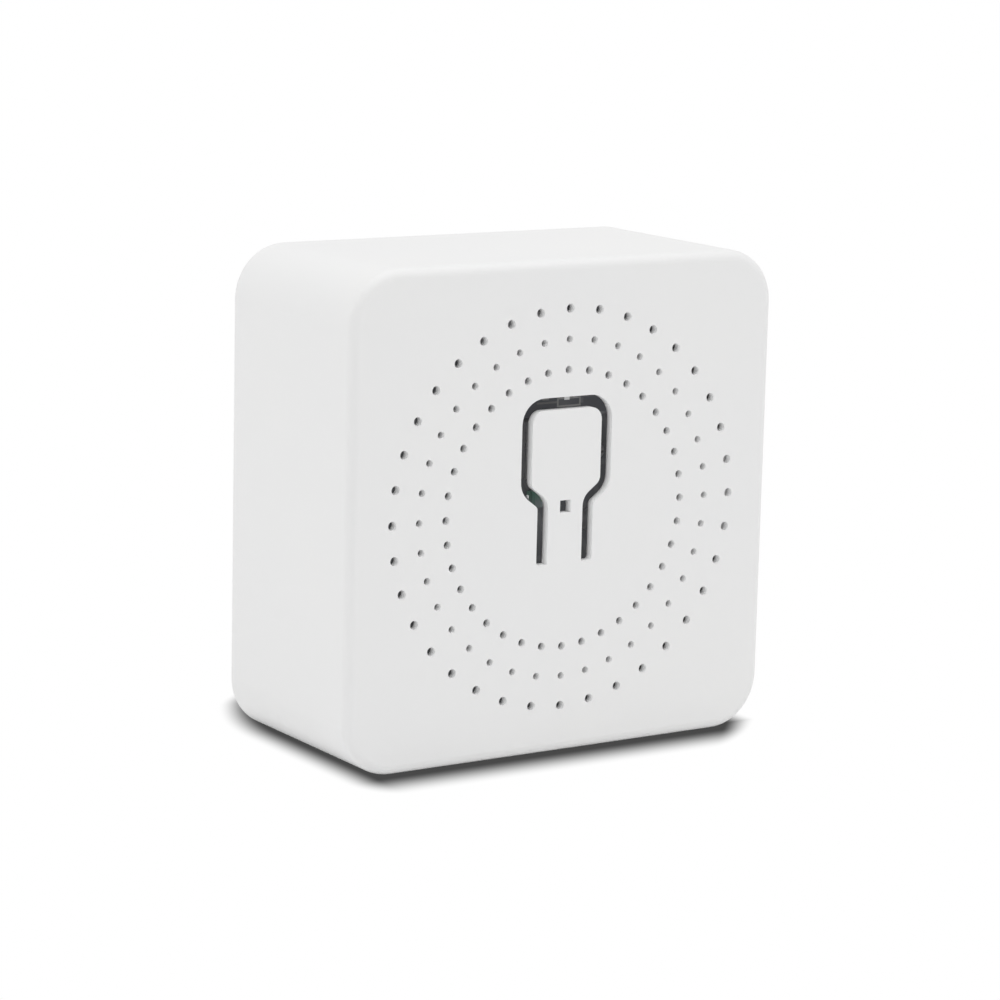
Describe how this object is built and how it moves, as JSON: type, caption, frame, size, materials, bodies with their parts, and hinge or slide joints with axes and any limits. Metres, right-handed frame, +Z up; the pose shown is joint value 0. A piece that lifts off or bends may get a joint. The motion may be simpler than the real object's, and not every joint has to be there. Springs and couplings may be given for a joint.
{
  "type": "smart relay module",
  "caption": "Square white relay switch module for a wall box, with ringed vent holes, a flexing key-shaped push tongue and screw terminals along the bottom.",
  "frame": {"origin": "middle of the bottom side, at half depth", "axes": "+Z up, the front with the push tongue faces -Y, +X to the right seen from the front"},
  "size_m": [0.0392, 0.0184, 0.0392],
  "materials": {
    "housing_white": "satin moulded",
    "cover_white": "satin moulded",
    "board_mask": "solder mask",
    "radio_mask": "solder mask",
    "solder": "bright solder",
    "chip_black": "moulded",
    "switch_black": "moulded",
    "switch_steel": "plated",
    "plunger_grey": "moulded",
    "lamp_clear": "clear",
    "shield_steel": "tinned",
    "terminal_plastic": "moulded",
    "rail_brass": "tinned brass",
    "screw_steel": "zinc plated",
    "cage_steel": "nickel plated",
    "relay_shell": "moulded",
    "relay_plastic": "moulded",
    "bobbin_plastic": "moulded",
    "winding_copper": "enamelled copper wire",
    "relay_iron": "zinc plated",
    "contact_copper": "copper alloy",
    "pin_tin": "tinned",
    "varistor_blue": "coated",
    "resistor_green": "coated",
    "capacitor_sleeve": "sleeved",
    "choke_sleeve": "shrink sleeve"
  },
  "bodies": {
    "case": {"front_housing": "housing_white", "rear_cover": "cover_white", "main_board": "board_mask", "radio_board": "radio_mask", "solder_joints": "solder", "chip_parts": "chip_black", "radio_chip": "chip_black", "bridge_rectifier": "chip_black", "supply_chip": "chip_black", "regulator": "chip_black", "switch_base": "switch_black", "switch_frame": "switch_steel", "switch_legs": "switch_steel", "status_lamp": "lamp_clear", "radio_shield": "shield_steel", "terminal_block": "terminal_plastic", "terminal_rails": "rail_brass", "relay_cover": "relay_shell", "relay_base": "relay_plastic", "relay_bobbin": "bobbin_plastic", "relay_winding": "winding_copper", "relay_core": "relay_iron", "relay_yoke": "relay_iron", "relay_fixed_contact": "contact_copper", "relay_coil_pins": "pin_tin", "varistor": "varistor_blue", "fusible_resistor": "resistor_green", "bulk_capacitor": "capacitor_sleeve", "output_capacitor": "capacitor_sleeve", "choke": "choke_sleeve"},
    "button": {"button_tongue": "housing_white"},
    "plunger": {"switch_plunger": "plunger_grey"},
    "armature": {"relay_armature": "relay_iron", "relay_spring": "contact_copper"},
    "screw_1": {"terminal_screw_1": "screw_steel"},
    "cage_1": {"clamp_cage_1": "cage_steel"},
    "screw_2": {"terminal_screw_2": "screw_steel"},
    "cage_2": {"clamp_cage_2": "cage_steel"},
    "screw_3": {"terminal_screw_3": "screw_steel"},
    "cage_3": {"clamp_cage_3": "cage_steel"},
    "screw_4": {"terminal_screw_4": "screw_steel"},
    "cage_4": {"clamp_cage_4": "cage_steel"},
    "screw_5": {"terminal_screw_5": "screw_steel"},
    "cage_5": {"clamp_cage_5": "cage_steel"}
  },
  "joints": [
    {"name": "button_press", "type": "hinge", "parent": "case", "child": "button", "pos_m": [0, -0.0092, 0.0153], "axis": [-1, 0, 0], "range_deg": [0, 1.6], "stiffness_Nm_per_rad": 0.05},
    {"name": "plunger_press", "type": "slide", "parent": "case", "child": "plunger", "axis": [0, 1, 0], "range_m": [0, 0.00025]},
    {"name": "armature_swing", "type": "hinge", "parent": "case", "child": "armature", "pos_m": [-0.00082, 0.0011, 0.0165], "axis": [0, -1, 0], "range_deg": [0, 3.2], "stiffness_Nm_per_rad": 0.05},
    {"name": "screw_turn_1", "type": "hinge", "parent": "case", "child": "screw_1", "pos_m": [-0.0124, 0.0068, 0.0058], "axis": [0, -1, 0], "range_deg": [0, 1925]},
    {"name": "cage_rise_1", "type": "slide", "parent": "case", "child": "cage_1", "axis": [0, 1, 0], "range_m": [0, 0.0024]},
    {"name": "screw_turn_2", "type": "hinge", "parent": "case", "child": "screw_2", "pos_m": [-0.0062, 0.0068, 0.0058], "axis": [0, -1, 0], "range_deg": [0, 1925]},
    {"name": "cage_rise_2", "type": "slide", "parent": "case", "child": "cage_2", "axis": [0, 1, 0], "range_m": [0, 0.0024]},
    {"name": "screw_turn_3", "type": "hinge", "parent": "case", "child": "screw_3", "pos_m": [0, 0.0068, 0.0058], "axis": [0, -1, 0], "range_deg": [0, 1925]},
    {"name": "cage_rise_3", "type": "slide", "parent": "case", "child": "cage_3", "axis": [0, 1, 0], "range_m": [0, 0.0024]},
    {"name": "screw_turn_4", "type": "hinge", "parent": "case", "child": "screw_4", "pos_m": [0.0062, 0.0068, 0.0058], "axis": [0, -1, 0], "range_deg": [0, 1925]},
    {"name": "cage_rise_4", "type": "slide", "parent": "case", "child": "cage_4", "axis": [0, 1, 0], "range_m": [0, 0.0024]},
    {"name": "screw_turn_5", "type": "hinge", "parent": "case", "child": "screw_5", "pos_m": [0.0124, 0.0068, 0.0058], "axis": [0, -1, 0], "range_deg": [0, 1925]},
    {"name": "cage_rise_5", "type": "slide", "parent": "case", "child": "cage_5", "axis": [0, 1, 0], "range_m": [0, 0.0024]}
  ],
  "couplings": [
    {"joint": "plunger_press", "follows": "button_press", "m_per_rad": 0.0087},
    {"joint": "screw_turn_1", "follows": "cage_rise_1", "rad_per_m": 13963},
    {"joint": "screw_turn_2", "follows": "cage_rise_2", "rad_per_m": 13963},
    {"joint": "screw_turn_3", "follows": "cage_rise_3", "rad_per_m": 13963},
    {"joint": "screw_turn_4", "follows": "cage_rise_4", "rad_per_m": 13963},
    {"joint": "screw_turn_5", "follows": "cage_rise_5", "rad_per_m": 13963}
  ]
}
